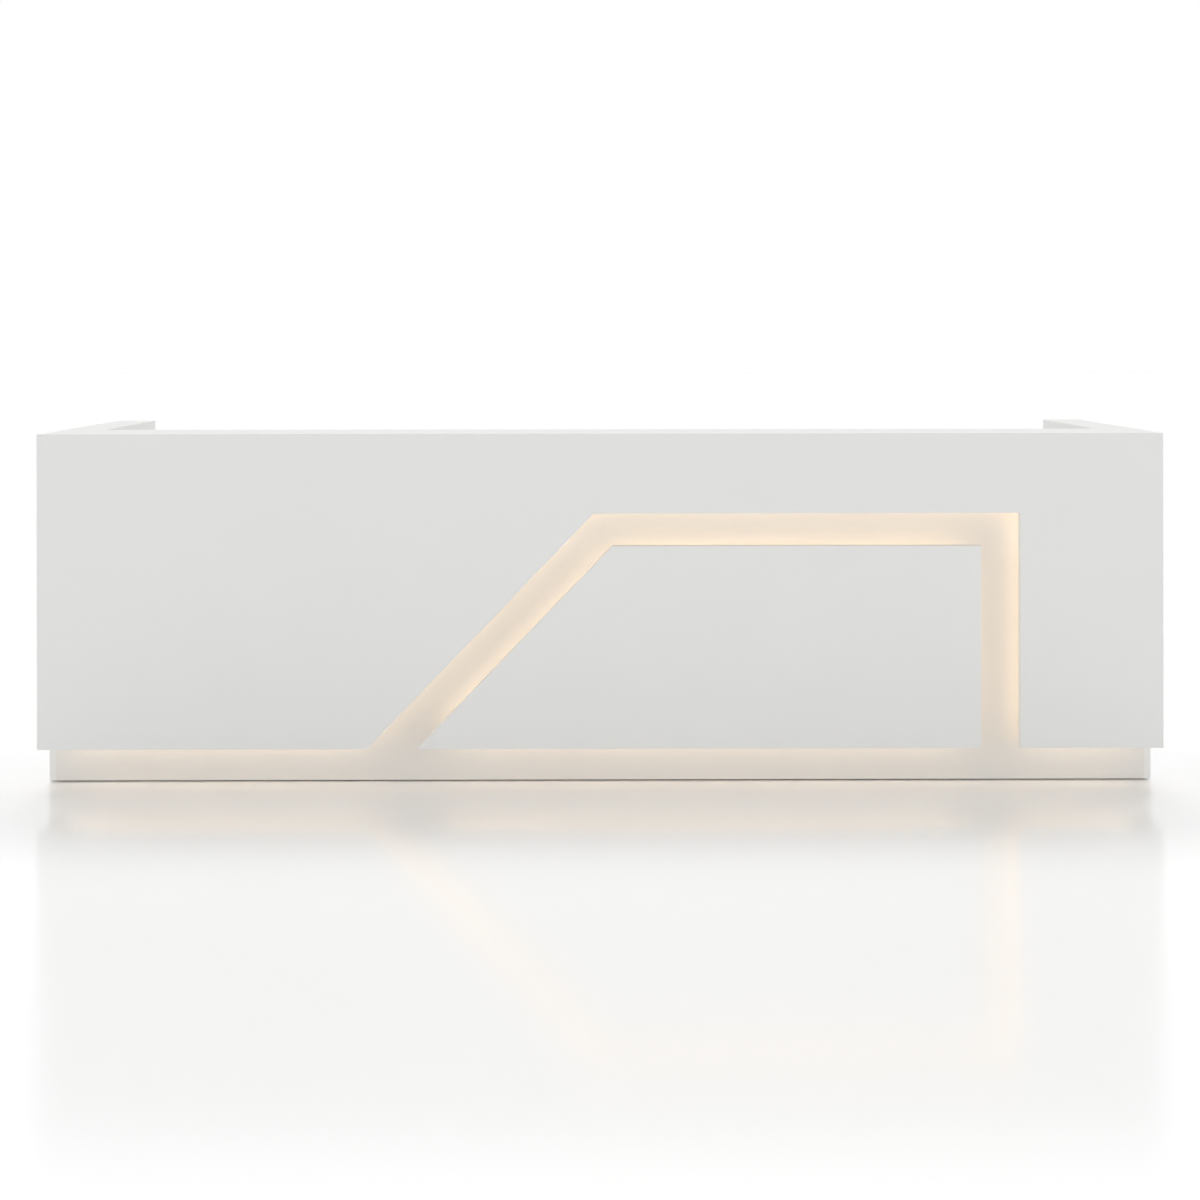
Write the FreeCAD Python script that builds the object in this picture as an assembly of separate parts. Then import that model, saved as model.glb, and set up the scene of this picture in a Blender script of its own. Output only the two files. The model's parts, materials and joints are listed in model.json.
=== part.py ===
import FreeCAD, Part
import math
import os

# Reception desk in millimetres, +Z up, standing on Z = 0.
# Visitors stand on the -Y side, staff on the +Y side, X runs along the desk.

# Overall sizes
desk_width = 3200.0
desk_depth = 800.0
desk_height = 1015.0
floor_gap = 4.0
edge_radius = 2.0
touch = 0.01

# Boards of the shell
board = 18.0
facing_board = 22.0
counter_board = 25.0
facing_depth = 110.0
facing_foot = 120.0
counter_depth = 240.0
wing_thickness = 120.0
rail_board = 25.0
wing_rail_height = 480.0
stud_spacing = 500.0
studs_each_side = 2

# Lit channel cut out of the facing
channel_drop = 227.0
channel_top_width = 92.0
channel_slope_width = 102.0
channel_right_width = 112.0
channel_slope_angle = 46.0
channel_foot_x = -664.0
channel_right_x = 1193.0
lip_radius = 1.5
batten_setback = 30.0

# Light inside the channel
led_profile_width = 17.0
led_profile_depth = 6.0
led_panel_gap = 52.0
led_profile_wall = 1.2
led_strip_width = 10.0
led_strip_thickness = 1.5
diffuser_thickness = 1.5
diffuser_leg = 2.5
led_corner_inset = 2.0
led_wall_inset = 40.0

# Driver, gland, lead and switch
driver_stud_distance = 20.0
driver_width = 50.0
driver_depth = 40.0
driver_height = 170.0
driver_radius = 4.0
gland_length = 20.0
gland_hex_across = 16.0
gland_hex_height = 8.0
gland_radius = 6.5
gland_bore_radius = 3.5
lead_radius = 2.5
lead_rise = 60.0
lead_end_rise = 16.0
lead_worktop_distance = 105.0
lead_wall_bend = 20.0
lead_front_bend = 25.0
lead_hole_radius = 4.5
lead_notch_radius = 3.5
switch_wing_distance = 230.0
switch_rise = 40.0
switch_bezel_margin = 2.0
switch_bezel_thickness = 2.0
switch_bezel_radius = 1.0
switch_side_wall = 1.9
switch_end_wall = 1.7
switch_body_depth = 14.0
switch_back_wall = 2.0
switch_fit = 0.2
rocker_radius = 12.0
rocker_gap = 0.3
rocker_length = 17.6
rocker_pivot_depth = 4.0
rocker_back = 4.0
rocker_tilt = 10.0
rocker_pin_radius = 1.5
rocker_pin_length = 1.5
rocker_pin_fit = 0.05

# Work surface and its supports
worktop_height = 750.0
worktop_board = 25.0
worktop_inset = 20.0
worktop_edge_radius = 3.0
gable_depth = 360.0
bracket_inner_x = 250.0
bracket_cabinet_distance = 260.0
bracket_leg = 40.0
bracket_plate = 3.0
bracket_bend = 3.0
bracket_hole_spacing = 20.0
bracket_hole_reach = 26.0
screw_head_radius = 4.5
screw_head_height = 2.6
screw_head_round = 1.2
screw_shank_radius = 2.0
screw_length = 15.0
screw_clearance = 0.2

# Cable grommets
grommet_x = 560.0
grommet_back_distance = 70.0
grommet_hole_radius = 30.0
grommet_fit = 0.2
grommet_flange_overlap = 4.0
grommet_flange_thickness = 2.0
grommet_flange_round = 1.0
grommet_barrel_wall = 2.3
grommet_barrel_depth = 22.0
grommet_ledge_width = 3.5
grommet_ledge_thickness = 2.0
cap_gap = 0.3
cap_thickness = 3.0
cap_notch_width = 16.0
cap_notch_depth = 18.0

# Storage cabinets under the work surface
cabinet_width = 420.0
cabinet_front_inset = 58.0
cabinet_lift = 24.0
top_rail_width = 80.0
front_gap = 1.0
front_side_margin = 6.0
front_inner_margin = 2.0
front_bottom_margin = 3.0
front_top_margin = 3.0
front_joint = 3.0
front_radius = 1.5

# Drawers
small_front_height = 164.0
box_lift = 25.0
box_top_margin = 39.0
deep_box_lift = 35.0
deep_box_top_margin = 76.0
box_board = 15.0
box_bottom_board = 9.0
box_bottom_lift = 10.0
box_rear_clearance = 26.0
runner_thickness = 12.7
runner_height = 45.0
runner_plate = 1.2
runner_gap = 0.4
runner_rear_clearance = 34.0

# Bar handles
handle_length = 160.0
handle_bar = 10.0
handle_post_spacing = 128.0
handle_reach = 22.0
handle_radius = 1.5
drawer_handle_drop = 60.0
deep_handle_drop = 90.0
door_handle_edge = 45.0
door_handle_drop = 150.0

# Cupboard
shelf_height = 371.0
shelf_side_gap = 1.0
shelf_front_inset = 22.0
shelf_pin_radius = 2.5
shelf_pin_fit = 0.1
shelf_pin_depth = 8.0
shelf_pin_reach = 9.0
shelf_pin_inset = 60.0
door_top_margin = 5.0
door_pivot_edge = 7.0
door_swing_radius = 5.0
pivot_plate = 2.0
pivot_plate_width = 20.0
pivot_plate_length = 60.0
pivot_plate_nose = 8.0
pivot_top_plate_length = 32.0
pivot_pin_radius = 2.5
pivot_pin_fit = 0.05
pivot_pin_depth = 12.0
pivot_collar_radius = 4.0
pivot_collar_gap = 0.3
bush_radius = 5.0
bush_fit = 0.05
bush_length = 14.0

# Levelling feet
foot_pad_radius = 14.0
foot_pad_height = 4.0
foot_pad_round = 1.0
foot_stem_radius = 4.0
foot_stem_clearance = 0.1
foot_nut_across = 14.0
foot_nut_height = 6.0
foot_end_distance = 82.0
foot_pairs = 3
foot_inset = 60.0

# Planes that follow from the sizes above
half_width = desk_width / 2
front_y = -desk_depth / 2
rear_y = desk_depth / 2
side_x = half_width - board
facing_back_y = front_y + facing_board
base_front_y = front_y + facing_depth
base_back_y = base_front_y + board
staff_y = front_y + counter_depth
staff_wall_front_y = staff_y - board
counter_under = desk_height - counter_board
wing_inner_x = half_width - wing_thickness
wing_panel_x = wing_inner_x + board
wing_end_y = rear_y - board
worktop_under = worktop_height - worktop_board
worktop_rear_y = rear_y - worktop_inset
cabinet_outer_x = wing_inner_x
cabinet_inner_x = wing_inner_x - cabinet_width
cabinet_front_y = rear_y - cabinet_front_inset
cabinet_back_y = staff_y + board
front_y_inside = cabinet_front_y + front_gap
front_y_outside = front_y_inside + board
front_bottom = cabinet_lift + front_bottom_margin
led_face_y = base_front_y - led_panel_gap
lead_front_y = led_face_y - led_profile_depth / 2
channel_top = desk_height - channel_drop
inner_top = channel_top - channel_top_width
lead_height = min(inner_top - batten_setback - lead_end_rise - lead_front_bend,
                  worktop_under - lead_worktop_distance)
driver_x = stud_spacing - driver_stud_distance
driver_top = lead_height - lead_wall_bend - lead_rise
driver_bottom = driver_top - driver_height
switch_x = wing_inner_x - switch_wing_distance
switch_z = worktop_height + switch_rise
switch_body_width = rocker_length + 2 * (rocker_gap + switch_side_wall)
switch_body_height = 2 * (rocker_radius + rocker_gap + switch_end_wall)
rocker_pivot_y = staff_y - rocker_pivot_depth
rocker_pin_span = rocker_length + 2 * rocker_pin_length
bracket_outer_x = cabinet_inner_x - bracket_cabinet_distance
bracket_xs = (-bracket_outer_x, -bracket_inner_x, bracket_inner_x, bracket_outer_x)
grommet_flange_radius = grommet_hole_radius + grommet_flange_overlap
grommet_barrel_radius = grommet_hole_radius - grommet_fit
grommet_inside_radius = grommet_barrel_radius - grommet_barrel_wall
grommet_ledge_radius = grommet_inside_radius - grommet_ledge_width


def vector(x, y, z):
    return FreeCAD.Vector(x, y, z)


def box(x0, x1, y0, y1, z0, z1):
    return Part.makeBox(x1 - x0, y1 - y0, z1 - z0, vector(x0, y0, z0))


def mirrored_box(side, x0, x1, y0, y1, z0, z1):
    if side > 0:
        return box(x0, x1, y0, y1, z0, z1)
    return box(-x1, -x0, y0, y1, z0, z1)


def extruded(points, along):
    return Part.Face(Part.makePolygon(points + points[:1])).extrude(along)


def prism_xz(outline, y0, y1):
    return extruded([vector(x, y0, z) for x, z in outline], vector(0, y1 - y0, 0))


def prism_xy(outline, z0, z1):
    return extruded([vector(x, y, z0) for x, y in outline], vector(0, 0, z1 - z0))


def prism_yz(outline, x0, x1):
    return extruded([vector(x0, y, z) for y, z in outline], vector(x1 - x0, 0, 0))


def rod(radius, start, along, length):
    return Part.makeCylinder(radius, length, start, along)


def hexagon(across, centre_x, centre_y, z0, z1):
    corner = across / math.sqrt(3)
    angles = [math.radians(60 * turn) for turn in range(6)]
    outline = [(centre_x + corner * math.cos(a), centre_y + corner * math.sin(a)) for a in angles]
    return prism_xy(outline, z0, z1)


def joined(shapes):
    return shapes[0].fuse(shapes[1:]).removeSplitter().Solids[0]


def without(shape, cutters):
    return shape.cut(cutters).Solids[0]


def lies_at(edge, axis, value):
    return all(abs(getattr(corner.Point, axis) - value) < touch for corner in edge.Vertexes)


def rounded(shape, radius, wanted):
    return shape.makeFillet(radius, [edge for edge in shape.Edges if wanted(edge)]).Solids[0]


def save(name, shapes):
    Part.makeCompound(shapes).exportStep("parts/" + name + ".step")


# Outlines of the channel, seen from the front as X and Z

slope = math.radians(channel_slope_angle)
inner_right_x = channel_right_x - channel_right_width
slope_shift = channel_slope_width / math.sin(slope)


def slope_x(foot_x, z):
    return foot_x + (z - facing_foot) / math.tan(slope)


outer_lip = [
    (-side_x, facing_foot),
    (channel_foot_x, facing_foot),
    (slope_x(channel_foot_x, channel_top), channel_top),
    (channel_right_x, channel_top),
    (channel_right_x, facing_foot),
    (side_x, facing_foot),
]
inner_foot_x = channel_foot_x + slope_shift
inner_lip = [
    (inner_foot_x, facing_foot),
    (slope_x(inner_foot_x, inner_top), inner_top),
    (inner_right_x, inner_top),
    (inner_right_x, facing_foot),
]


def unit(start, end):
    length = math.hypot(end[0] - start[0], end[1] - start[1])
    return ((end[0] - start[0]) / length, (end[1] - start[1]) / length)


def left_of(direction):
    return (-direction[1], direction[0])


def offset_path(points, distance, closed):
    # Moves a path sideways to its left, with mitred corners.
    count = len(points)
    moved = []
    for index, point in enumerate(points):
        before = left_of(unit(points[index - 1], point))
        after = left_of(unit(point, points[(index + 1) % count]))
        if not closed and index == 0:
            before = after
        if not closed and index == count - 1:
            after = before
        scale = distance / (1 + before[0] * after[0] + before[1] * after[1])
        moved.append((point[0] + scale * (before[0] + after[0]),
                      point[1] + scale * (before[1] + after[1])))
    return moved


def path_segments(points, closed):
    ends = points[1:] + points[:1] if closed else points[1:]
    return list(zip(points, ends))


def batten_strips(lip, side, closed):
    near = offset_path(lip, side * batten_setback, closed)
    far = offset_path(lip, side * (batten_setback + board), closed)
    pairs = zip(path_segments(near, closed), path_segments(far, closed))
    return [prism_xz([a, b, d, c], facing_back_y, base_front_y) for (a, b), (c, d) in pairs]


def led_runs(lip, side, closed):
    # Straight runs beside the battens, kept clear of the mitred corners and of the side panels.
    lip_distance = batten_setback - led_profile_width
    near = path_segments(offset_path(lip, side * lip_distance, closed), closed)
    far = path_segments(offset_path(lip, side * batten_setback, closed), closed)
    runs = []
    for (near_start, near_end), (far_start, far_end) in zip(near, far):
        along = unit(near_start, near_end)

        def place(point):
            return (point[0] - near_start[0]) * along[0] + (point[1] - near_start[1]) * along[1]

        start = max(0.0, place(far_start)) + led_corner_inset
        end = min(place(near_end), place(far_end)) - led_corner_inset
        if abs(abs(near_start[0]) - side_x) < touch:
            start = led_wall_inset
        if abs(abs(near_end[0]) - side_x) < touch:
            end = place(near_end) - led_wall_inset
        origin = (near_start[0] + along[0] * start, near_start[1] + along[1] * start)
        inward = left_of(along)
        runs.append((origin, along, (side * inward[0], side * inward[1]), end - start))
    return runs


def run_point(run, across, depth):
    # Across is from the lip side, and depth is behind the profile's mouth, which looks at the base panel.
    origin, along, inward, length = run
    return vector(origin[0] + inward[0] * across, led_face_y - depth, origin[1] + inward[1] * across)


def along_run(run, section):
    origin, along, inward, length = run
    return section.extrude(vector(along[0] * length, 0, along[1] * length))


def run_prism(run, section):
    corners = [run_point(run, across, depth) for across, depth in section]
    return along_run(run, Part.Face(Part.makePolygon(corners + corners[:1])))


def run_dome(run):
    # Half-round cover whose two legs stand inside the profile.
    centre = led_profile_width / 2
    outside = centre - led_profile_wall
    inside = outside - diffuser_thickness

    def point(across, depth):
        return run_point(run, centre + across, depth)

    edges = [
        Part.makeLine(point(-outside, diffuser_leg), point(-outside, 0)),
        Part.Arc(point(-outside, 0), point(0, -outside), point(outside, 0)).toShape(),
        Part.makeLine(point(outside, 0), point(outside, diffuser_leg)),
        Part.makeLine(point(outside, diffuser_leg), point(inside, diffuser_leg)),
        Part.makeLine(point(inside, diffuser_leg), point(inside, 0)),
        Part.Arc(point(inside, 0), point(0, -inside), point(-inside, 0)).toShape(),
        Part.makeLine(point(-inside, 0), point(-inside, diffuser_leg)),
        Part.makeLine(point(-inside, diffuser_leg), point(-outside, diffuser_leg)),
    ]
    return along_run(run, Part.Face(Part.Wire(edges)))


def rectangle(start, end, low, high):
    return [(start, low), (end, low), (end, high), (start, high)]


# Shell

def make_envelope():
    outline = [
        (-half_width, front_y), (half_width, front_y), (half_width, rear_y),
        (wing_inner_x, rear_y), (wing_inner_x, staff_y), (-wing_inner_x, staff_y),
        (-wing_inner_x, rear_y), (-half_width, rear_y),
    ]
    block = prism_xy(outline, floor_gap, desk_height)

    def outer_edge(edge):
        corner = edge.Vertexes[0]
        upright = lies_at(edge, "x", corner.X) and lies_at(edge, "y", corner.Y)
        return lies_at(edge, "z", desk_height) or (upright and not lies_at(edge, "y", staff_y))

    return rounded(block, edge_radius, outer_edge)


def round_lips(facing, lip_segments):
    # Rounds the front edges that run along the given straight stretches.
    def on_lip(edge):
        if not lies_at(edge, "y", front_y):
            return False
        for start, end in lip_segments:
            normal = left_of(unit(start, end))
            offsets = [(corner.X - start[0]) * normal[0] + (corner.Z - start[1]) * normal[1]
                       for corner in edge.Vertexes]
            if max(abs(offset) for offset in offsets) < touch:
                return True
        return False

    return rounded(facing, lip_radius, on_lip)


def make_facings(envelope):
    sheet = box(-side_x, side_x, front_y, facing_back_y, facing_foot, desk_height)
    notch = prism_xz(outer_lip[1:5], front_y, facing_back_y)
    outer = without(sheet.common(envelope), [notch])
    save("outer_facing", [round_lips(outer, path_segments(outer_lip, False))])
    inner = prism_xz(inner_lip, front_y, facing_back_y)
    save("inner_facing", [round_lips(inner, path_segments(inner_lip, True))])


def make_battens():
    foot_top = facing_foot + batten_setback + board
    top_under = counter_under - board
    outer = batten_strips(outer_lip, 1, False)
    outer.append(box(-side_x, side_x, facing_back_y, base_front_y, top_under, counter_under))
    for side in (-1, 1):
        outer.append(mirrored_box(side, side_x - board, side_x, facing_back_y, base_front_y,
                                  foot_top, top_under))
    save("outer_battens", outer)
    inner = batten_strips(inner_lip, -1, True)
    batten_top = inner_top - batten_setback
    notch = box(driver_x - lead_notch_radius, driver_x + lead_notch_radius, facing_back_y,
                lead_front_y + lead_notch_radius, batten_top - board, batten_top)
    save("inner_battens", [without(strip, [notch]) for strip in inner])


def lead_hole(y0, y1):
    return rod(lead_hole_radius, vector(driver_x, y0, lead_height), vector(0, 1, 0), y1 - y0)


def make_front_boards(envelope):
    base = box(-side_x, side_x, base_front_y, base_back_y, floor_gap, counter_under)
    save("base_panel", [without(base, [lead_hole(base_front_y, base_back_y)])])
    counter = box(-side_x, side_x, facing_back_y, staff_y, counter_under, desk_height)
    save("counter_top", [counter.common(envelope).Solids[0]])
    staff = box(-side_x, side_x, staff_wall_front_y, staff_y, floor_gap, counter_under)
    cutters = [lead_hole(staff_wall_front_y, staff_y), switch_pocket()] + wall_screw_holes()
    save("staff_wall", [without(staff, cutters)])


def make_front_frame():
    low_top = floor_gap + rail_board
    high_under = counter_under - rail_board
    low = box(-side_x, side_x, base_back_y, staff_wall_front_y, floor_gap, low_top)
    high = box(-side_x, side_x, base_back_y, staff_wall_front_y, high_under, counter_under)
    save("front_rails", [without(low, [stem_hole(x, y) for x, y in front_foot_places()]), high])
    centres = [step * stud_spacing for step in range(-studs_each_side, studs_each_side + 1)]
    centres += [-side_x + board / 2, side_x - board / 2]
    save("front_studs", [box(x - board / 2, x + board / 2, base_back_y, staff_wall_front_y,
                             low_top, high_under) for x in centres])


def make_sides(envelope):
    for side, name in ((-1, "left"), (1, "right")):
        panel = mirrored_box(side, side_x, half_width, front_y, rear_y, floor_gap, desk_height)
        toe = mirrored_box(side, side_x, half_width, front_y, base_front_y, floor_gap, facing_foot)
        shaped = without(panel.common(envelope), [toe])
        foot = [((side * side_x, facing_foot), (side * half_width, facing_foot))]
        save(name + "_side_panel", [round_lips(shaped, foot)])


def make_wings(envelope):
    rails = []
    low_top = floor_gap + rail_board
    for side, name in ((-1, "left"), (1, "right")):
        inner = mirrored_box(side, wing_inner_x, wing_panel_x, staff_y, rear_y, floor_gap, desk_height)
        save(name + "_wing_inner_panel", [inner.common(envelope).Solids[0]])
        top = mirrored_box(side, wing_panel_x, side_x, staff_y, wing_end_y, desk_height - board, desk_height)
        save(name + "_wing_top_cap", [top.common(envelope).Solids[0]])
        end = mirrored_box(side, wing_panel_x, side_x, wing_end_y, rear_y, floor_gap, desk_height)
        save(name + "_wing_end_cap", [end.common(envelope).Solids[0]])
        low = mirrored_box(side, wing_panel_x, side_x, staff_y, wing_end_y, floor_gap, low_top)
        rails.append(without(low, [stem_hole(x, y) for x, y in wing_foot_places(side)]))
        rails.append(mirrored_box(side, wing_panel_x, side_x, staff_y, wing_end_y,
                                  wing_rail_height, wing_rail_height + board))
    save("wing_rails", rails)


# Light and electrics

def make_light():
    inside_start = led_profile_wall
    inside_end = led_profile_width - led_profile_wall
    floor = led_profile_depth - led_profile_wall
    channel = [(0, 0), (inside_start, 0), (inside_start, floor), (inside_end, floor), (inside_end, 0),
               (led_profile_width, 0), (led_profile_width, led_profile_depth), (0, led_profile_depth)]
    strip_start = (led_profile_width - led_strip_width) / 2
    strip = rectangle(strip_start, strip_start + led_strip_width, floor - led_strip_thickness, floor)
    runs = led_runs(outer_lip, 1, False) + led_runs(inner_lip, -1, True)
    save("led_profiles", [run_prism(run, channel) for run in runs])
    save("led_strips", [run_prism(run, strip) for run in runs])
    save("led_diffusers", [run_dome(run) for run in runs])


def make_driver():
    half = driver_width / 2
    case = box(driver_x - half, driver_x + half, staff_y, staff_y + driver_depth,
               driver_bottom, driver_top)
    save("led_driver", [rounded(case, driver_radius, lambda edge: not lies_at(edge, "y", staff_y))])
    gland_y = staff_y + driver_depth / 2
    gland_bottom = driver_bottom - gland_length
    nut = hexagon(gland_hex_across, driver_x, gland_y, driver_bottom - gland_hex_height, driver_bottom)
    neck = rod(gland_radius, vector(driver_x, gland_y, gland_bottom), vector(0, 0, 1), gland_length)
    bore = rod(gland_bore_radius, vector(driver_x, gland_y, gland_bottom), vector(0, 0, 1), gland_length)
    save("driver_gland", [without(joined([nut, neck]), [bore])])


def quarter_arc(start, middle_y, middle_z, radius, end):
    # Quarter turn in the Y-Z plane about the given centre.
    lean_y = (start.y + end.y) / 2 - middle_y
    lean_z = (start.z + end.z) / 2 - middle_z
    reach = radius / math.hypot(lean_y, lean_z)
    through = vector(start.x, middle_y + lean_y * reach, middle_z + lean_z * reach)
    return Part.Arc(start, through, end).toShape()


def make_supply_lead():
    wall_y = staff_y + lead_wall_bend
    bend_z = lead_height - lead_wall_bend
    front_bend_y = lead_front_y + lead_front_bend
    front_bend_z = lead_height + lead_front_bend
    start = vector(driver_x, wall_y, driver_top)
    first = vector(driver_x, wall_y, bend_z)
    second = vector(driver_x, staff_y, lead_height)
    third = vector(driver_x, front_bend_y, lead_height)
    fourth = vector(driver_x, lead_front_y, front_bend_z)
    end = vector(driver_x, lead_front_y, inner_top - batten_setback)
    edges = [
        Part.makeLine(start, first),
        quarter_arc(first, staff_y, bend_z, lead_wall_bend, second),
        Part.makeLine(second, third),
        quarter_arc(third, front_bend_y, front_bend_z, lead_front_bend, fourth),
        Part.makeLine(fourth, end),
    ]
    section = Part.Wire([Part.makeCircle(lead_radius, start, vector(0, 0, 1))])
    lead = Part.Wire(edges).makePipeShell([section], True, True)
    save("supply_lead", [lead.Solids[0]])


def switch_box(half_width_x, half_height, y0, y1):
    return box(switch_x - half_width_x, switch_x + half_width_x, y0, y1,
               switch_z - half_height, switch_z + half_height)


def switch_pocket():
    return switch_box(switch_body_width / 2 + switch_fit, switch_body_height / 2 + switch_fit,
                      staff_y - switch_body_depth - switch_fit, staff_y)


def rocker_rod(radius, length):
    # Rod along the rocker's pivot line, centred on the switch.
    return rod(radius, vector(switch_x - length / 2, rocker_pivot_y, switch_z), vector(1, 0, 0), length)


def make_switch_body():
    bezel_front = staff_y + switch_bezel_thickness
    bezel = switch_box(switch_body_width / 2 + switch_bezel_margin,
                       switch_body_height / 2 + switch_bezel_margin, staff_y, bezel_front)
    bezel = rounded(bezel, switch_bezel_radius, lambda edge: lies_at(edge, "y", bezel_front))
    body = switch_box(switch_body_width / 2, switch_body_height / 2, staff_y - switch_body_depth, staff_y)
    cavity_length = rocker_length + 2 * rocker_gap
    cavity_back = staff_y - switch_body_depth + switch_back_wall
    cavity = rocker_rod(rocker_radius + rocker_gap, cavity_length)
    cavity = cavity.common(switch_box(cavity_length, rocker_radius * 2, cavity_back, rear_y))
    bore = rocker_rod(rocker_pin_radius + rocker_pin_fit, rocker_pin_span + 2 * rocker_pin_fit)
    save("switch_body", [without(joined([bezel, body]), [cavity, bore])])


def make_switch_rocker():
    lean = math.tan(math.radians(rocker_tilt))
    ridge = rocker_pivot_depth + switch_bezel_thickness
    reach = 2 * rocker_radius
    outline = [(-rocker_back, -reach), (ridge + reach * lean, -reach), (ridge, 0),
               (ridge + reach * lean, reach), (-rocker_back, reach)]
    profile = prism_yz([(rocker_pivot_y + y, switch_z + z) for y, z in outline],
                       switch_x - rocker_length / 2, switch_x + rocker_length / 2)
    drum = rocker_rod(rocker_radius, rocker_length)
    pin = rocker_rod(rocker_pin_radius, rocker_pin_span)
    rocker = joined([profile.common(drum), pin])
    rocker.rotate(vector(switch_x, rocker_pivot_y, switch_z), vector(1, 0, 0), rocker_tilt)
    save("switch_rocker", [rocker])


# Work surface

def screw_places(x):
    return [x - bracket_hole_spacing / 2, x + bracket_hole_spacing / 2]


def wall_screw_z():
    return worktop_under - bracket_hole_reach


def worktop_screw_y():
    return staff_y + bracket_hole_reach


def wall_screw_holes():
    radius = screw_shank_radius + screw_clearance
    return [rod(radius, vector(x, staff_y - screw_length, wall_screw_z()), vector(0, 1, 0), screw_length)
            for centre in bracket_xs for x in screw_places(centre)]


def worktop_screw_holes():
    radius = screw_shank_radius + screw_clearance
    return [rod(radius, vector(x, worktop_screw_y(), worktop_under), vector(0, 0, 1), screw_length)
            for centre in bracket_xs for x in screw_places(centre)]


def make_screw(seat, outward):
    shank = rod(screw_shank_radius, seat, outward * -1, screw_length - screw_clearance)
    head = rod(screw_head_radius, seat, outward, screw_head_height)
    crown = seat + outward * screw_head_height
    head = rounded(head, screw_head_round, lambda edge: all((corner.Point - crown).dot(outward) > -touch
                                                            for corner in edge.Vertexes))
    return joined([shank, head])


def make_brackets():
    brackets = []
    screws = []
    low = worktop_under - bracket_leg
    out = staff_y + bracket_leg
    outline = [(staff_y, worktop_under), (staff_y, low), (staff_y + bracket_plate, low),
               (staff_y + bracket_plate, worktop_under - bracket_plate),
               (out, worktop_under - bracket_plate), (out, worktop_under)]
    radius = screw_shank_radius + screw_clearance
    for centre in bracket_xs:
        plate = prism_yz(outline, centre - bracket_leg / 2, centre + bracket_leg / 2)
        plate = rounded(plate, bracket_bend, lambda edge: lies_at(edge, "y", staff_y + bracket_plate)
                        and lies_at(edge, "z", worktop_under - bracket_plate))
        holes = []
        for x in screw_places(centre):
            holes.append(rod(radius, vector(x, staff_y, wall_screw_z()), vector(0, 1, 0), bracket_plate))
            holes.append(rod(radius, vector(x, worktop_screw_y(), worktop_under), vector(0, 0, -1),
                             bracket_plate))
            screws.append(make_screw(vector(x, staff_y + bracket_plate, wall_screw_z()), vector(0, 1, 0)))
            screws.append(make_screw(vector(x, worktop_screw_y(), worktop_under - bracket_plate),
                                     vector(0, 0, -1)))
        brackets.append(without(plate, holes))
    save("worktop_brackets", brackets)
    save("bracket_screws", screws)


def grommet_centre(side, z):
    return vector(side * grommet_x, staff_y + grommet_back_distance, z)


def make_work_surface():
    top = box(-wing_inner_x, wing_inner_x, staff_y, worktop_rear_y, worktop_under, worktop_height)
    top = rounded(top, worktop_edge_radius, lambda edge: lies_at(edge, "y", worktop_rear_y)
                  and (lies_at(edge, "z", worktop_height) or lies_at(edge, "z", worktop_under)))
    holes = [rod(grommet_hole_radius, grommet_centre(side, worktop_under), vector(0, 0, 1), worktop_board)
             for side in (-1, 1)]
    save("work_surface", [without(top, holes + worktop_screw_holes())])
    gable = box(-board / 2, board / 2, staff_y, staff_y + gable_depth, floor_gap, worktop_under)
    save("center_gable", [without(gable, [stem_hole(x, y) for x, y in gable_foot_places()])])


def make_grommets():
    up = vector(0, 0, 1)
    flange_top = worktop_height + grommet_flange_thickness
    ledge_top = flange_top - cap_thickness
    liners = []
    for side, name in ((-1, "left"), (1, "right")):
        flange = rod(grommet_flange_radius, grommet_centre(side, worktop_height), up,
                     grommet_flange_thickness)
        flange = rounded(flange, grommet_flange_round, lambda edge: lies_at(edge, "z", flange_top))
        barrel_bottom = worktop_height - grommet_barrel_depth
        barrel = rod(grommet_barrel_radius, grommet_centre(side, barrel_bottom), up, grommet_barrel_depth)
        ledge_bottom = ledge_top - grommet_ledge_thickness
        cutters = [
            rod(grommet_inside_radius, grommet_centre(side, ledge_top), up, cap_thickness),
            rod(grommet_ledge_radius, grommet_centre(side, ledge_bottom), up, grommet_ledge_thickness),
            rod(grommet_inside_radius, grommet_centre(side, barrel_bottom), up, ledge_bottom - barrel_bottom),
        ]
        liners.append(without(joined([flange, barrel]), cutters))
        cap_radius = grommet_inside_radius - cap_gap
        cap = rod(cap_radius, grommet_centre(side, ledge_top), up, cap_thickness)
        centre = grommet_centre(side, ledge_top)
        notch = box(centre.x - cap_notch_width / 2, centre.x + cap_notch_width / 2,
                    centre.y - grommet_flange_radius, centre.y - cap_radius + cap_notch_depth,
                    ledge_top, flange_top)
        save(name + "_grommet_cap", [without(cap, [notch])])
    save("grommet_liners", liners)


# Cabinets

def make_carcass(side, name):
    inner = cabinet_inner_x
    outer = cabinet_outer_x
    bottom_top = cabinet_lift + board
    sides = [mirrored_box(side, x, x + board, cabinet_back_y, cabinet_front_y, cabinet_lift, worktop_under)
             for x in (inner, outer - board)]
    if side > 0:
        sides = [without(panel, shelf_pin_holes()) for panel in sides]
    save(name + "_sides", sides)
    bottom = mirrored_box(side, inner + board, outer - board, cabinet_back_y, cabinet_front_y,
                          cabinet_lift, bottom_top)
    save(name + "_bottom", [without(bottom, [stem_hole(x, y) for x, y in cabinet_foot_places(side)])])
    save(name + "_back", [mirrored_box(side, inner, outer, staff_y, cabinet_back_y,
                                       cabinet_lift, worktop_under)])
    starts = (cabinet_back_y, cabinet_front_y - top_rail_width)
    return [mirrored_box(side, inner + board, outer - board, y, y + top_rail_width,
                         worktop_under - board, worktop_under) for y in starts]


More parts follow.
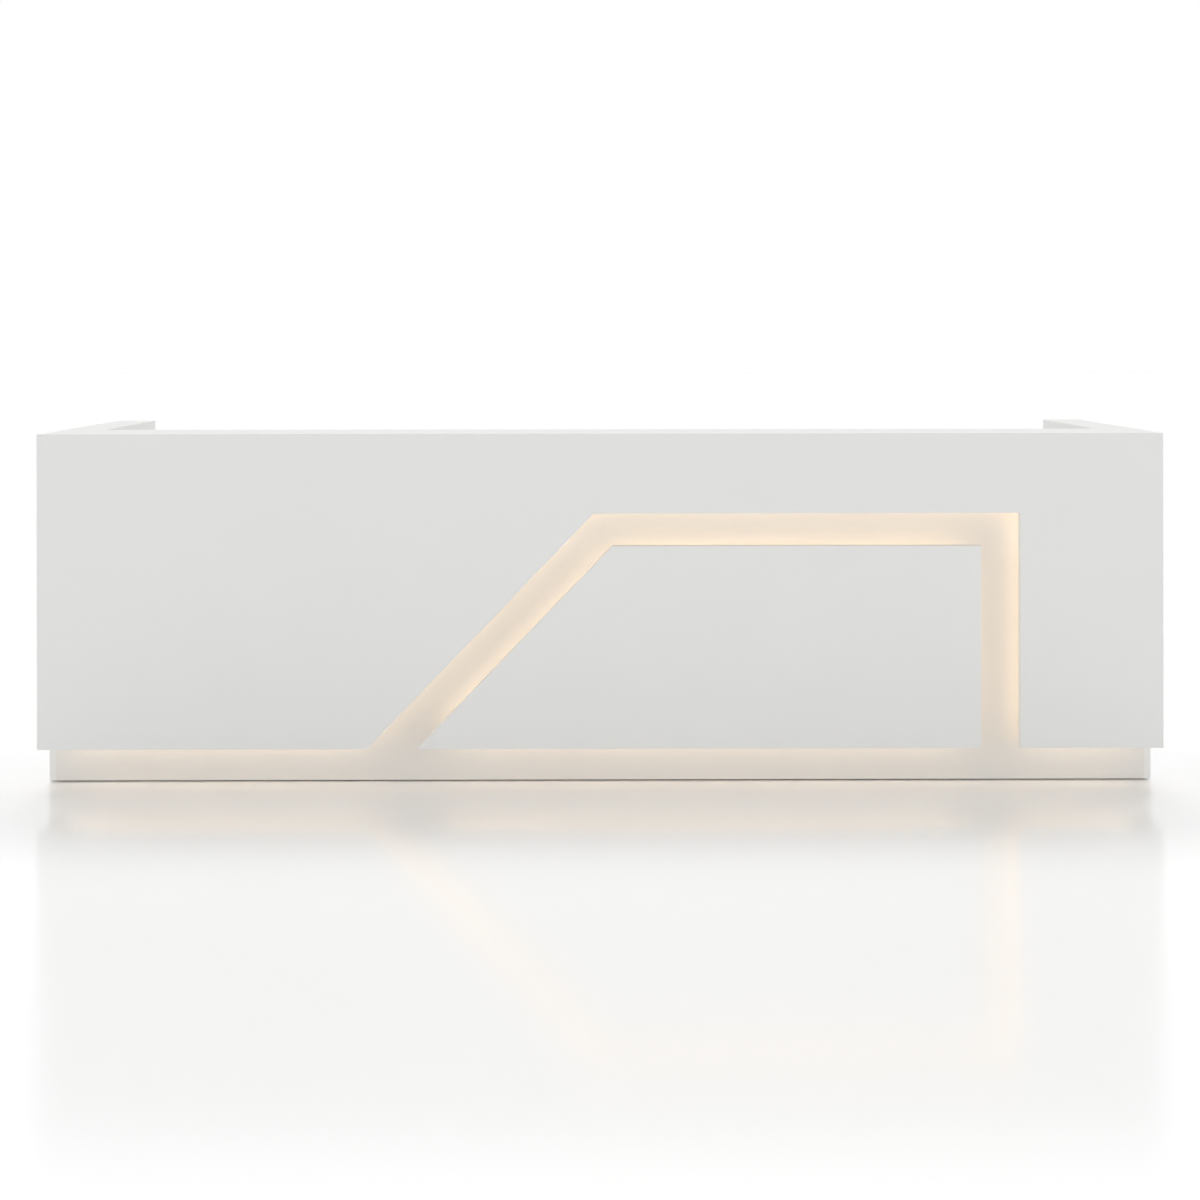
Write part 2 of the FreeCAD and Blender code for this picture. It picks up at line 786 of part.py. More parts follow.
def rounded_front(x0, x1, z0, z1):
    front = box(x0, x1, front_y_inside, front_y_outside, z0, z1)
    return rounded(front, front_radius, lambda edge: lies_at(edge, "y", front_y_outside))


def make_handle(name, centre_x, centre_z, upright):
    half = handle_bar / 2
    bar_y = front_y_outside + handle_reach

    def bar_box(low, high, y0, y1):
        if upright:
            return box(centre_x - half, centre_x + half, y0, y1, centre_z + low, centre_z + high)
        return box(centre_x + low, centre_x + high, y0, y1, centre_z - half, centre_z + half)

    bar = bar_box(-handle_length / 2, handle_length / 2, bar_y, bar_y + handle_bar)
    bar = rounded(bar, handle_radius, lambda edge: lies_at(edge, "y", bar_y + handle_bar))
    posts = [bar_box(place - half, place + half, front_y_outside, bar_y)
             for place in (-handle_post_spacing / 2, handle_post_spacing / 2)]
    save(name, [bar] + posts)


def runner_section(side_plane, inward, centre_z, members):
    # Nested C sections between a cabinet side and a drawer box.
    half = runner_height / 2
    plate = runner_plate

    def section(depth_back, depth_mouth, half_height):
        step = plate if depth_mouth > depth_back else -plate
        places = [(depth_back, -half_height), (depth_mouth, -half_height), (depth_mouth, plate - half_height),
                  (depth_back + step, plate - half_height), (depth_back + step, half_height - plate),
                  (depth_mouth, half_height - plate), (depth_mouth, half_height), (depth_back, half_height)]
        return [(side_plane + inward * depth, centre_z + z) for depth, z in places]

    if members == "cabinet":
        return section(0, runner_thickness - plate - runner_gap, half)
    return section(runner_thickness, plate + runner_gap, half - plate - runner_gap)


def make_runners(centre_z, members):
    start = cabinet_back_y + runner_rear_clearance
    planes = ((board - cabinet_outer_x, 1), (-cabinet_inner_x - board, -1))
    return [prism_xz(runner_section(plane, inward, centre_z, members), start, cabinet_front_y)
            for plane, inward in planes]


def make_drawer(name, front_low, front_high, lift, top_margin, handle_drop):
    front_left = front_side_margin - cabinet_outer_x
    front_right = -cabinet_inner_x - front_inner_margin
    save(name + "_front", [rounded_front(front_left, front_right, front_low, front_high)])
    left = board + runner_thickness - cabinet_outer_x
    right = -cabinet_inner_x - board - runner_thickness
    back = cabinet_back_y + box_rear_clearance
    box_low = front_low + lift
    top = front_high - top_margin
    floor_low = box_low + box_bottom_lift
    save(name + "_box", [
        box(left, left + box_board, back, front_y_inside, box_low, top),
        box(right - box_board, right, back, front_y_inside, box_low, top),
        box(left + box_board, right - box_board, back, back + box_board, box_low, top),
        box(left + box_board, right - box_board, front_y_inside - box_board, front_y_inside, box_low, top),
        box(left + box_board, right - box_board, back + box_board, front_y_inside - box_board,
            floor_low, floor_low + box_bottom_board),
    ])
    centre_z = (box_low + top) / 2
    save(name + "_runners", make_runners(centre_z, "drawer"))
    make_handle(name + "_handle", (front_left + front_right) / 2, front_high - handle_drop, False)
    return make_runners(centre_z, "cabinet")


def make_drawers():
    top_high = worktop_under - front_top_margin
    top_low = top_high - small_front_height
    middle_high = top_low - front_joint
    middle_low = middle_high - small_front_height
    bottom_high = middle_low - front_joint
    fixed = make_drawer("top_drawer", top_low, top_high, box_lift, box_top_margin, drawer_handle_drop)
    fixed += make_drawer("middle_drawer", middle_low, middle_high, box_lift, box_top_margin,
                         drawer_handle_drop)
    fixed += make_drawer("bottom_drawer", front_bottom, bottom_high, deep_box_lift, deep_box_top_margin,
                         deep_handle_drop)
    save("cabinet_runners", fixed)


# Cupboard

def shelf_pin_places():
    return (cabinet_back_y + shelf_pin_inset, cabinet_front_y - shelf_front_inset - shelf_pin_inset)


def shelf_pins(radius):
    pins = []
    pin_z = shelf_height - shelf_pin_radius
    length = shelf_pin_depth + shelf_pin_reach
    for y in shelf_pin_places():
        left = vector(cabinet_inner_x + board - shelf_pin_depth, y, pin_z)
        right = vector(cabinet_outer_x - board + shelf_pin_depth, y, pin_z)
        pins.append(rod(radius, left, vector(1, 0, 0), length))
        pins.append(rod(radius, right, vector(-1, 0, 0), length))
    return pins


def shelf_pin_holes():
    return shelf_pins(shelf_pin_radius + shelf_pin_fit)


def door_pivot():
    return (cabinet_outer_x - front_side_margin - door_pivot_edge, (front_y_inside + front_y_outside) / 2)


def door_top():
    return worktop_under - door_top_margin


def make_shelf():
    inner = cabinet_inner_x + board + shelf_side_gap
    outer = cabinet_outer_x - board - shelf_side_gap
    shelf = box(inner, outer, cabinet_back_y, cabinet_front_y - shelf_front_inset,
                shelf_height, shelf_height + board)
    save("cupboard_shelf", [shelf])
    save("shelf_pins", shelf_pins(shelf_pin_radius))


def make_door():
    left = cabinet_inner_x + front_inner_margin
    right = cabinet_outer_x - front_side_margin
    door = rounded_front(left, right, front_bottom, door_top())
    door = rounded(door, door_swing_radius, lambda edge: lies_at(edge, "x", right)
                   and lies_at(edge, "y", front_y_inside))
    pivot_x, pivot_y = door_pivot()
    up = vector(0, 0, 1)
    low_seat = vector(pivot_x, pivot_y, front_bottom)
    high_seat = vector(pivot_x, pivot_y, door_top() - bush_length)
    places = (low_seat, high_seat)
    seats = [rod(bush_radius + bush_fit, place, up, bush_length) for place in places]
    save("cupboard_door", [without(door, seats)])
    bore_radius = pivot_pin_radius + pivot_pin_fit
    save("door_bushes", [without(rod(bush_radius, place, up, bush_length),
                                 [rod(bore_radius, place, up, bush_length)]) for place in places])
    make_handle("door_handle", left + door_handle_edge, door_top() - door_handle_drop, True)


def pivot_unit(plate_low, plate_high, plate_back, plate_front, outward, door_face):
    pivot_x, pivot_y = door_pivot()
    face = plate_high if outward > 0 else plate_low
    along = vector(0, 0, outward)
    half = pivot_plate_width / 2
    plate = box(pivot_x - half, pivot_x + half, plate_back, plate_front, plate_low, plate_high)
    gap = abs(door_face - face)
    collar = rod(pivot_collar_radius, vector(pivot_x, pivot_y, face), along, gap - pivot_collar_gap)
    pin = rod(pivot_pin_radius, vector(pivot_x, pivot_y, face), along, gap + pivot_pin_depth)
    return joined([plate, collar, pin])


def make_door_pivots():
    # The lower plate lies under the cupboard, the upper one under the work surface's overhang.
    nose = door_pivot()[1] + pivot_plate_nose
    low = pivot_unit(cabinet_lift - pivot_plate, cabinet_lift, nose - pivot_plate_length, nose,
                     1, front_bottom)
    high = pivot_unit(worktop_under - pivot_plate, worktop_under, cabinet_front_y,
                      cabinet_front_y + pivot_top_plate_length, -1, door_top())
    save("door_pivots", [low, high])


# Levelling feet

def front_foot_places():
    # Evenly spread along the front rail, the same distance between all neighbours.
    y = (base_back_y + staff_wall_front_y) / 2
    half_step = (side_x - foot_end_distance) / (2 * foot_pairs - 1)
    xs = [half_step * (2 * pair + 1) for pair in range(foot_pairs)]
    return [(side * x, y) for x in xs for side in (-1, 1)]


def wing_foot_places(side):
    x = side * (wing_panel_x + side_x) / 2
    return [(x, staff_y + foot_inset), (x, wing_end_y - foot_inset)]


def gable_foot_places():
    return [(0.0, staff_y + foot_inset), (0.0, staff_y + gable_depth - foot_inset)]


def cabinet_foot_places(side):
    xs = (cabinet_inner_x + foot_inset, cabinet_outer_x - foot_inset)
    ys = (cabinet_back_y + foot_inset, cabinet_front_y - foot_inset)
    return [(side * x, y) for x in xs for y in ys]


def stem_hole(x, y):
    return rod(foot_stem_radius + foot_stem_clearance, vector(x, y, 0), vector(0, 0, 1),
               cabinet_lift + board)


def make_foot(x, y, stem_top, nut_top):
    up = vector(0, 0, 1)
    pad = rod(foot_pad_radius, vector(x, y, 0), up, foot_pad_height)
    pad = rounded(pad, foot_pad_round, lambda edge: lies_at(edge, "z", 0))
    stem = rod(foot_stem_radius, vector(x, y, 0), up, stem_top)
    if nut_top is None:
        return joined([pad, stem])
    nut = hexagon(foot_nut_across, x, y, nut_top - foot_nut_height, nut_top)
    return joined([pad, stem, nut])


def make_feet():
    low_places = front_foot_places() + gable_foot_places()
    for side in (-1, 1):
        low_places += wing_foot_places(side)
    feet = [make_foot(x, y, floor_gap + rail_board, None) for x, y in low_places]
    for side in (-1, 1):
        feet += [make_foot(x, y, cabinet_lift + board, cabinet_lift) for x, y in cabinet_foot_places(side)]
    save("levelling_feet", feet)


os.makedirs("parts", exist_ok=True)
shell = make_envelope()
make_facings(shell)
make_battens()
make_front_boards(shell)
make_front_frame()
make_sides(shell)
make_wings(shell)
make_light()
make_driver()
make_supply_lead()
make_switch_body()
make_switch_rocker()
make_brackets()
make_work_surface()
make_grommets()
top_rails = make_carcass(-1, "drawer_cabinet") + make_carcass(1, "cupboard")
save("cabinet_top_rails", top_rails)
make_drawers()
make_shelf()
make_door()
make_door_pivots()
make_feet()
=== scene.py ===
import json
import math

import bmesh
import bpy
from mathutils import Matrix, Vector


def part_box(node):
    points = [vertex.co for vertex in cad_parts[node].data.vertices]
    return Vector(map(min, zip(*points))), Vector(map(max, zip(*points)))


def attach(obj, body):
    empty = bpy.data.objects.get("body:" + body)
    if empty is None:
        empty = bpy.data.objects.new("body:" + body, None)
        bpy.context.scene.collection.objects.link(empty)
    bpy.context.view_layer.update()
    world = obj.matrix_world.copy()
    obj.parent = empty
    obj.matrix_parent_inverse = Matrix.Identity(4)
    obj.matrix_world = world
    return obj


# Reception desk, in metres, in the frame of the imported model.

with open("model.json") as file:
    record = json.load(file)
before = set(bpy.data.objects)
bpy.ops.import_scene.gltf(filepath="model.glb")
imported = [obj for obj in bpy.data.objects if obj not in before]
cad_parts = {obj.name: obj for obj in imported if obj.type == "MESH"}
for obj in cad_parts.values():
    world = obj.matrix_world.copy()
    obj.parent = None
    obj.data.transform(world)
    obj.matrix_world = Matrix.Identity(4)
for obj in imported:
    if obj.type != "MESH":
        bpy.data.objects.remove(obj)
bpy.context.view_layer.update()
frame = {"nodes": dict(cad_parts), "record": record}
nodes = frame["nodes"]
mm = 0.001


# Colours and nodes

def linear(code):
    # sRGB hex to linear RGBA
    values = [int(code[place:place + 2], 16) / 255 for place in (1, 3, 5)]
    return tuple(v / 12.92 if v <= 0.04045 else ((v + 0.055) / 1.055) ** 2.4 for v in values) + (1.0,)


def add(tree, kind, inputs=None, out=0, **settings):
    # Adds one node with its settings, links or sets its inputs, and gives one of its outputs.
    made = tree.nodes.new(kind)
    for name, value in settings.items():
        setattr(made, name, value)
    for socket, value in (inputs or {}).items():
        if isinstance(value, bpy.types.NodeSocket):
            tree.links.new(value, made.inputs[socket])
        else:
            made.inputs[socket].default_value = value
    return made.outputs[out] if made.outputs else None


def start(name):
    # An empty material, its node tree and the place on the desk in metres.
    material = bpy.data.materials.new(name)
    material.use_nodes = True
    tree = material.node_tree
    tree.nodes.clear()
    return material, tree, add(tree, "ShaderNodeTexCoord", out="Object")


def cover(tree, inputs):
    # One shader over the whole surface.
    shader = add(tree, "ShaderNodeBsdfPrincipled", inputs)
    add(tree, "ShaderNodeOutputMaterial", {"Surface": shader})


def per_size(size):
    # Texture scale that makes a pattern about this many millimetres across.
    return 1 / (size * mm)


# Finishes

# Settings of a mix of two colours, and the sockets of mixes by number.
mix_colour = {"out": 2, "data_type": "RGBA"}
shade, low_value, high_value, low_colour, high_colour = 0, 2, 3, 6, 7

# Light of the opal covers and of the strips behind them
warm_white = "#ffe5c8"
channel_light = 2.6
foot_light = 3.5
foot_run_top = 151 * mm
foot_run_fade = 1 * mm
strip_light = 1.0

# Stretch of a pattern: brushing on a level bar and on an upright one, wiping, flakes and grain
along_x = (0.02, 1, 1)
along_z = (1, 1, 0.02)
wiping_stretch = (0.2, 1, 1)
flake_stretch = (0.5, 1, 1)
grain_stretch = (1, 0.06, 1)

# Drawer boxes: thickness of the board and of a veneer in millimetres, and what counts as the sawn top edge
ply_board = 15
veneer = ply_board / 5
box_low, box_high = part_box("top_drawer_box")
middle_share = 0.5
ply_side_share = middle_share - ply_board * mm / (box_high[0] - box_low[0])
top_share = 0.95
nearly_level = 0.9

# A face of the worktop whose normal rises less than this is its edge.
edge_slope = 0.5

# A wave pattern at a scale of 1 repeats every tau / 20 of a metre.
wave_turn = math.tau / 20

# Moulded skins are this much more or less rough from place to place.
gloss_spread = 0.06


def satin_lacquer():
    # Polyurethane sprayed on MDF: an even white with a soft sheen and faint orange peel.
    # Real peel is 2 mm across, and is drawn at 7 mm so that it shows.
    material, tree, place = start("satin_white_lacquer")
    cloud = add(tree, "ShaderNodeTexNoise", {"Vector": place, "Scale": per_size(300), "Detail": 3.0})
    peel = add(tree, "ShaderNodeTexNoise", {"Vector": place, "Scale": per_size(7), "Detail": 1.0})
    cover(tree, {
        "Base Color": add(tree, "ShaderNodeMix", {shade: cloud, low_colour: linear("#ededeb"),
                                                  high_colour: linear("#f0f0ee")}, **mix_colour),
        "Roughness": add(tree, "ShaderNodeMapRange", {"Value": cloud, "To Min": 0.48, "To Max": 0.58}),
        "Normal": add(tree, "ShaderNodeBump", {"Height": peel, "Distance": 0.02 * mm, "Strength": 0.3}),
        "IOR": 1.5})
    return material


def matt_wall_paint():
    # Emulsion rolled on the set-back board: a flat warm white with the stipple of the roller, drawn at 5 mm.
    material, tree, place = start("matt_white_paint")
    cloud = add(tree, "ShaderNodeTexNoise", {"Vector": place, "Scale": per_size(250), "Detail": 3.0})
    stipple = add(tree, "ShaderNodeTexNoise", {"Vector": place, "Scale": per_size(5), "Detail": 2.0})
    cover(tree, {
        "Base Color": add(tree, "ShaderNodeMix", {shade: cloud, low_colour: linear("#e8e6e2"),
                                                  high_colour: linear("#ebe9e5")}, **mix_colour),
        "Normal": add(tree, "ShaderNodeBump", {"Height": stipple, "Distance": 0.03 * mm, "Strength": 0.4}),
        "Roughness": 0.7, "IOR": 1.48})
    return material


def melamine_board():
    # Melamine paper pressed on chipboard: matt white with a fine pebbled skin, drawn at 3 mm.
    material, tree, place = start("white_melamine_board")
    cloud = add(tree, "ShaderNodeTexNoise", {"Vector": place, "Scale": per_size(160), "Detail": 2.0})
    pebble = add(tree, "ShaderNodeTexNoise", {"Vector": place, "Scale": per_size(3), "Detail": 2.0})
    cover(tree, {
        "Base Color": add(tree, "ShaderNodeMix", {shade: cloud, low_colour: linear("#e1e0de"),
                                                  high_colour: linear("#e6e5e3")}, **mix_colour),
        "Roughness": add(tree, "ShaderNodeMapRange", {"Value": pebble, "To Min": 0.46, "To Max": 0.58}),
        "Normal": add(tree, "ShaderNodeBump", {"Height": pebble, "Distance": 0.06 * mm, "Strength": 0.5}),
        "IOR": 1.5})
    return material


def worktop_laminate():
    # High-pressure laminate with a crystal press: hard white, with the sheen of long wiping.
    # The crystals are 1 mm across, and are drawn at 3 mm. The edges have an ABS band, a shade greyer.
    material, tree, place = start("white_worktop_laminate")
    crystal = add(tree, "ShaderNodeTexVoronoi", {"Vector": place, "Scale": per_size(3)})
    along = add(tree, "ShaderNodeMapping", {"Vector": place, "Scale": wiping_stretch})
    wiping = add(tree, "ShaderNodeTexNoise", {"Vector": along, "Scale": per_size(80), "Detail": 4.0})
    facing = add(tree, "ShaderNodeNewGeometry", out="Normal")
    upward = add(tree, "ShaderNodeSeparateXYZ", {"Vector": facing}, out="Z")
    level = add(tree, "ShaderNodeMath", {0: upward}, operation="ABSOLUTE")
    band = add(tree, "ShaderNodeMath", {0: level, 1: edge_slope}, operation="LESS_THAN")
    sheet = add(tree, "ShaderNodeMix", {shade: wiping, low_colour: linear("#dfdedc"),
                                        high_colour: linear("#e6e5e3")}, **mix_colour)
    cover(tree, {
        "Base Color": add(tree, "ShaderNodeMix", {shade: band, low_colour: sheet,
                                                  high_colour: linear("#d6d5d3")}, **mix_colour),
        "Roughness": add(tree, "ShaderNodeMapRange", {"Value": wiping, "To Min": 0.3, "To Max": 0.46}),
        "Normal": add(tree, "ShaderNodeBump", {"Height": crystal, "Distance": 0.05 * mm, "Strength": 0.4}),
        "IOR": 1.52})
    return material


def raw_chipboard():
    # Pressed wood flakes with no facing, on the hidden rails and studs: dull, speckled tan.
    material, tree, place = start("raw_chipboard")
    along = add(tree, "ShaderNodeMapping", {"Vector": place, "Scale": flake_stretch})
    flakes = add(tree, "ShaderNodeTexNoise", {"Vector": along, "Scale": per_size(6), "Detail": 6.0})
    cover(tree, {
        "Base Color": add(tree, "ShaderNodeMix", {shade: flakes, low_colour: linear("#9c7c50"),
                                                  high_colour: linear("#dcc49c")}, **mix_colour),
        "Normal": add(tree, "ShaderNodeBump", {"Height": flakes, "Distance": 0.3 * mm, "Strength": 0.7}),
        "Roughness": 0.85, "IOR": 1.45})
    return material


def ply_edge(tree, place):
    # Veneers of a drawer box as stripes: across X on its sides, and across Y on its front and back.
    share = add(tree, "ShaderNodeTexCoord", out="Generated")
    share_x = add(tree, "ShaderNodeSeparateXYZ", {"Vector": share}, out="X")
    from_middle = add(tree, "ShaderNodeMath", {0: share_x, 1: middle_share}, operation="SUBTRACT")
    out_from_middle = add(tree, "ShaderNodeMath", {0: from_middle}, operation="ABSOLUTE")
    on_side = add(tree, "ShaderNodeMath", {0: out_from_middle, 1: ply_side_share}, operation="GREATER_THAN")
    stripes = {"Vector": place, "Scale": wave_turn * per_size(2 * veneer)}
    over_x = add(tree, "ShaderNodeTexWave", stripes, out="Fac", bands_direction="X")
    over_y = add(tree, "ShaderNodeTexWave", stripes, out="Fac", bands_direction="Y")
    veneers = add(tree, "ShaderNodeMix", {shade: on_side, low_value: over_y, high_value: over_x})
    return add(tree, "ShaderNodeMix", {shade: veneers, low_colour: linear("#ab8450"),
                                       high_colour: linear("#e2c998")}, **mix_colour)


def on_top_edge(tree):
    # One on the upward faces near the top of a drawer box, and nought elsewhere.
    share = add(tree, "ShaderNodeTexCoord", out="Generated")
    height = add(tree, "ShaderNodeSeparateXYZ", {"Vector": share}, out="Z")
    facing = add(tree, "ShaderNodeNewGeometry", out="Normal")
    upward = add(tree, "ShaderNodeSeparateXYZ", {"Vector": facing}, out="Z")
    high = add(tree, "ShaderNodeMath", {0: height, 1: top_share}, operation="GREATER_THAN")
    level = add(tree, "ShaderNodeMath", {0: upward, 1: nearly_level}, operation="GREATER_THAN")
    return add(tree, "ShaderNodeMath", {0: high, 1: level}, operation="MULTIPLY")


def birch_plywood():
    # Clear-varnished birch plywood: pale long grain, and its veneers as stripes along the sawn top edge.
    # A 15 mm board has 11 veneers, drawn as 5, and its fine pores are drawn at 1.5 mm, so that they show.
    material, tree, place = start("birch_plywood")
    along = add(tree, "ShaderNodeMapping", {"Vector": place, "Scale": grain_stretch})
    grain = add(tree, "ShaderNodeTexNoise", {"Vector": along, "Scale": per_size(9), "Detail": 6.0})
    pores = add(tree, "ShaderNodeTexNoise", {"Vector": along, "Scale": per_size(1.5), "Detail": 3.0})
    flat = add(tree, "ShaderNodeMix", {shade: grain, low_colour: linear("#cba875"),
                                       high_colour: linear("#e8d2aa")}, **mix_colour)
    cover(tree, {
        "Base Color": add(tree, "ShaderNodeMix", {shade: on_top_edge(tree), low_colour: flat,
                                                  high_colour: ply_edge(tree, place)}, **mix_colour),
        "Roughness": add(tree, "ShaderNodeMapRange", {"Value": pores, "To Min": 0.36, "To Max": 0.5}),
        "Normal": add(tree, "ShaderNodeBump", {"Height": pores, "Distance": 0.08 * mm, "Strength": 0.6}),
        "IOR": 1.5})
    return material


def brushed_stainless(name, stretch):
    # Stainless bar brushed along its length: fine long scratches that spread the shine.
    # Real ones are about 0.1 mm wide, and are drawn at 0.8 mm so that they show.
    material, tree, place = start(name)
    along = add(tree, "ShaderNodeMapping", {"Vector": place, "Scale": stretch})
    scratches = add(tree, "ShaderNodeTexNoise", {"Vector": along, "Scale": per_size(0.8), "Detail": 4.0})
    cover(tree, {
        "Base Color": add(tree, "ShaderNodeMix", {shade: scratches, low_colour: linear("#a2a3a5"),
                                                  high_colour: linear("#c6c7c8")}, **mix_colour),
        "Roughness": add(tree, "ShaderNodeMapRange", {"Value": scratches, "To Min": 0.22, "To Max": 0.42}),
        "Normal": add(tree, "ShaderNodeBump", {"Height": scratches, "Distance": 0.02 * mm, "Strength": 0.4}),
        "Metallic": 1.0})
    return material


def zinc_plated_steel():
    # Pressed steel with bright zinc plating: bluish grey and slightly cloudy.
    material, tree, place = start("zinc_plated_steel")
    cloud = add(tree, "ShaderNodeTexNoise", {"Vector": place, "Scale": per_size(10), "Detail": 4.0})
    cover(tree, {
        "Base Color": add(tree, "ShaderNodeMix", {shade: cloud, low_colour: linear("#989da1"),
                                                  high_colour: linear("#c0c4c8")}, **mix_colour),
        "Roughness": add(tree, "ShaderNodeMapRange", {"Value": cloud, "To Min": 0.26, "To Max": 0.42}),
        "Normal": add(tree, "ShaderNodeBump", {"Height": cloud, "Distance": 0.03 * mm, "Strength": 0.3}),
        "Metallic": 1.0})
    return material


def anodised_aluminium():
    # Extruded and anodised: a satin grey with the faint mottle of the etch, drawn at 1.5 mm.
    material, tree, place = start("anodised_aluminium")
    mottle = add(tree, "ShaderNodeTexNoise", {"Vector": place, "Scale": per_size(1.5), "Detail": 3.0})
    cover(tree, {
        "Base Color": add(tree, "ShaderNodeMix", {shade: mottle, low_colour: linear("#c6c7c8"),
                                                  high_colour: linear("#dadbdc")}, **mix_colour),
        "Roughness": add(tree, "ShaderNodeMapRange", {"Value": mottle, "To Min": 0.3, "To Max": 0.44}),
        "Normal": add(tree, "ShaderNodeBump", {"Height": mottle, "Distance": 0.02 * mm, "Strength": 0.3}),
        "Metallic": 1.0})
    return material


def lit_opal_acrylic():
    # Opal acrylic with warm white light behind it: an even milky glow.
    # The runs along the foot light the toe space alone, and have the stronger strip.
    material, tree, place = start("lit_opal_acrylic")
    haze = add(tree, "ShaderNodeTexNoise", {"Vector": place, "Scale": per_size(5), "Detail": 2.0})
    height = add(tree, "ShaderNodeSeparateXYZ", {"Vector": place}, out="Z")
    cover(tree, {
        "Base Color": add(tree, "ShaderNodeMix", {shade: haze, low_colour: linear("#f0ebe0"),
                                                  high_colour: linear("#f8f4ec")}, **mix_colour),
        "Emission Strength": add(tree, "ShaderNodeMapRange", {
            "Value": height, "From Min": foot_run_top, "From Max": foot_run_top + foot_run_fade,
            "To Min": foot_light, "To Max": channel_light}),
        "Emission Color": linear(warm_white), "Roughness": 0.35, "IOR": 1.49})
    return material


def led_board():
    # White solder mask with yellow phosphor chips about every 8 mm, lit from within.
    material, tree, place = start("led_circuit_board")
    chips = add(tree, "ShaderNodeTexVoronoi", {"Vector": place, "Scale": per_size(8)})
    cover(tree, {
        "Base Color": add(tree, "ShaderNodeMix", {shade: chips, low_colour: linear("#f0d070"),
                                                  high_colour: linear("#f4f4f0")}, **mix_colour),
        "Roughness": 0.5, "IOR": 1.5,
        "Emission Color": linear(warm_white), "Emission Strength": strip_light})
    return material


def moulded_plastic(name, low, high, gloss, grain):
    # Injection-moulded plastic: even colour, with the fine grain of a spark-eroded mould.
    # Real grain is about 0.1 mm across, and is drawn at 1 mm or more so that it shows.
    material, tree, place = start(name)
    skin = add(tree, "ShaderNodeTexNoise", {"Vector": place, "Scale": per_size(grain), "Detail": 2.0})
    cover(tree, {
        "Base Color": add(tree, "ShaderNodeMix", {shade: skin, low_colour: linear(low),
                                                  high_colour: linear(high)}, **mix_colour),
        "Roughness": add(tree, "ShaderNodeMapRange", {"Value": skin, "To Min": gloss - gloss_spread,
                                                      "To Max": gloss + gloss_spread}),
        "Normal": add(tree, "ShaderNodeBump", {"Height": skin, "Distance": 0.04 * mm, "Strength": 0.5}),
        "IOR": 1.5})
    return material


finishes = {
    "white_lacquer": satin_lacquer(),
    "white_melamine": melamine_board(),
    "white_laminate": worktop_laminate(),
    "raw_board": raw_chipboard(),
    "birch_ply": birch_plywood(),
    "brushed_steel": brushed_stainless("brushed_stainless_level", along_x),
    "zinc_steel": zinc_plated_steel(),
    "aluminium": anodised_aluminium(),
    "opal": lit_opal_acrylic(),
    "led_strip": led_board(),
    "driver_case": moulded_plastic("white_abs", "#dcdcd8", "#e5e5e1", 0.48, 1.0),
    "black_plastic": moulded_plastic("black_nylon", "#151618", "#202123", 0.5, 1.0),
    "grey_plastic": moulded_plastic("grey_abs", "#8b8e90", "#9b9ea0", 0.44, 1.0),
    "lead": moulded_plastic("white_pvc_jacket", "#dcdad4", "#e6e4de", 0.42, 1.5),
    "switch": moulded_plastic("polished_black_abs", "#0f1011", "#171819", 0.2, 1.5),
}
own_finish = {
    "base_panel": matt_wall_paint(),
    "door_handle": brushed_stainless("brushed_stainless_upright", along_z),
}


def dress_nodes():
    # Each piece takes a finish of its own, or else the one of its material slot.
    for entry in frame["record"]["subparts"]:
        mesh = nodes[entry["node"]].data
        mesh.materials.clear()
        mesh.materials.append(own_finish.get(entry["node"], finishes[entry["material_slot"]]))


dress_nodes()


# Marks printed on the switch

mark_thickness = 0.12 * mm
mark_steps = 48
bar_width = 1.0 * mm
bar_length = 5.0 * mm
ring_outside = 2.4 * mm
ring_inside = 1.6 * mm
rocker_tilt = math.radians(20)
rocker_on_face = Vector((0, 1, 0))
rocker_off_face = Vector((0, math.cos(rocker_tilt), math.sin(rocker_tilt)))
same_way = 0.999


def white_print():
    # Pad-printed ink: a thin matt white film with a slightly uneven gloss.
    material, tree, place = start("white_printing_ink")
    film = add(tree, "ShaderNodeTexNoise", {"Vector": place, "Scale": per_size(0.6), "Detail": 2.0})
    cover(tree, {
        "Base Color": add(tree, "ShaderNodeMix", {shade: film, low_colour: linear("#dadad8"),
                                                  high_colour: linear("#ececea")}, **mix_colour),
        "Roughness": add(tree, "ShaderNodeMapRange", {"Value": film, "To Min": 0.4, "To Max": 0.55}),
        "IOR": 1.5})
    return material


def on_face(node, facing):
    # Middle of the node's flat face that looks this way, with Y up the face and Z out of it.
    flat = [face for face in nodes[node].data.polygons if face.normal.dot(facing) > same_way]
    area = sum(face.area for face in flat)
    middle = sum((face.area * face.center for face in flat), Vector()) / area
    sideways = Vector((-1, 0, 0))
    turn = Matrix((sideways, facing.cross(sideways), facing)).transposed()
    return Matrix.Translation(middle) @ turn.to_4x4()


def oval(radius, reach):
    # Round outline stretched along Y by this reach either way from its middle.
    points = []
    for step in range(mark_steps):
        turn = math.tau * (step + 0.5) / mark_steps
        stretch = math.copysign(reach, math.sin(turn))
        points.append((radius * math.cos(turn), radius * math.sin(turn) + stretch, 0))
    return points


